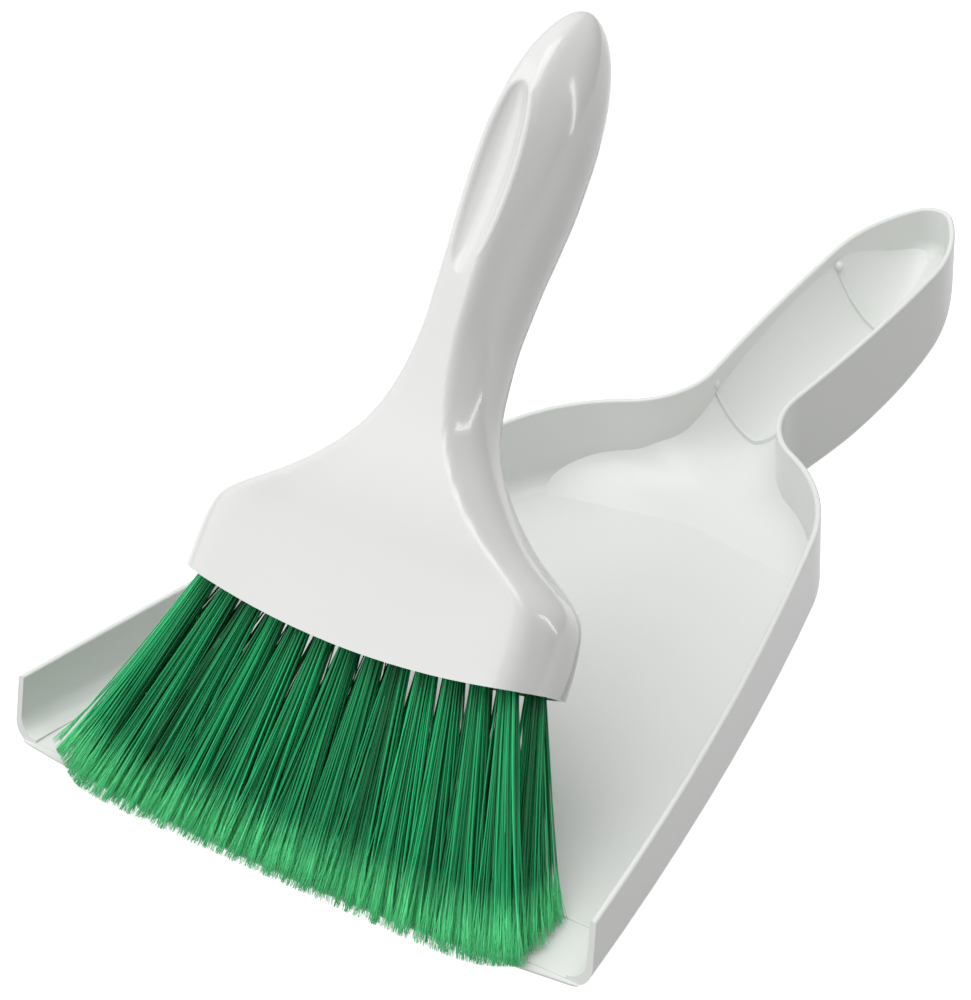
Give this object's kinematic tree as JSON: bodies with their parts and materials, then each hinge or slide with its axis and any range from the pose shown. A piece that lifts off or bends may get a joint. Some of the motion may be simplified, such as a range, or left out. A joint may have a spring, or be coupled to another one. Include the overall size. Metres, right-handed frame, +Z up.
{
  "type": "dustpan and brush",
  "caption": "White plastic dustpan with a trough handle and a matching whisk brush with fanned green bristles, standing on its tips in the mouth of the pan.",
  "frame": {"origin": "on the floor under the pan, in the middle of its mouth, level with the ends of the lip", "axes": "+X to the right, +Y from the mouth to the end of the handle, +Z up"},
  "size_m": [0.2538, 0.4646, 0.2435],
  "materials": {
    "pan_plastic": "satin",
    "brush_plastic": "gloss",
    "block_plastic": "satin",
    "wire": "drawn wire",
    "bristles": "extruded filament, flagged tips"
  },
  "bodies": {
    "pan": {"pan": "pan_plastic"},
    "brush": {"brush_shell": "brush_plastic", "tuft_block": "block_plastic", "anchor_wires": "wire", "tuft_1_01": "bristles", "tuft_1_02": "bristles", "tuft_1_03": "bristles", "tuft_1_04": "bristles", "tuft_1_05": "bristles", "tuft_1_06": "bristles", "tuft_1_07": "bristles", "tuft_1_08": "bristles", "tuft_1_09": "bristles", "tuft_1_10": "bristles", "tuft_1_11": "bristles", "tuft_1_12": "bristles", "tuft_1_13": "bristles", "tuft_2_01": "bristles", "tuft_2_02": "bristles", "tuft_2_03": "bristles", "tuft_2_04": "bristles", "tuft_2_05": "bristles", "tuft_2_06": "bristles", "tuft_2_07": "bristles", "tuft_2_08": "bristles", "tuft_2_09": "bristles", "tuft_2_10": "bristles", "tuft_2_11": "bristles", "tuft_2_12": "bristles", "tuft_2_13": "bristles", "tuft_2_14": "bristles", "tuft_3_01": "bristles", "tuft_3_02": "bristles", "tuft_3_03": "bristles", "tuft_3_04": "bristles", "tuft_3_05": "bristles", "tuft_3_06": "bristles", "tuft_3_07": "bristles", "tuft_3_08": "bristles", "tuft_3_09": "bristles", "tuft_3_10": "bristles", "tuft_3_11": "bristles", "tuft_3_12": "bristles", "tuft_3_13": "bristles"}
  },
  "joints": [
    {"name": "brush_lift", "type": "slide", "parent": "pan", "child": "brush", "axis": [0, 0, 1], "range_m": [0, 0.12]}
  ]
}
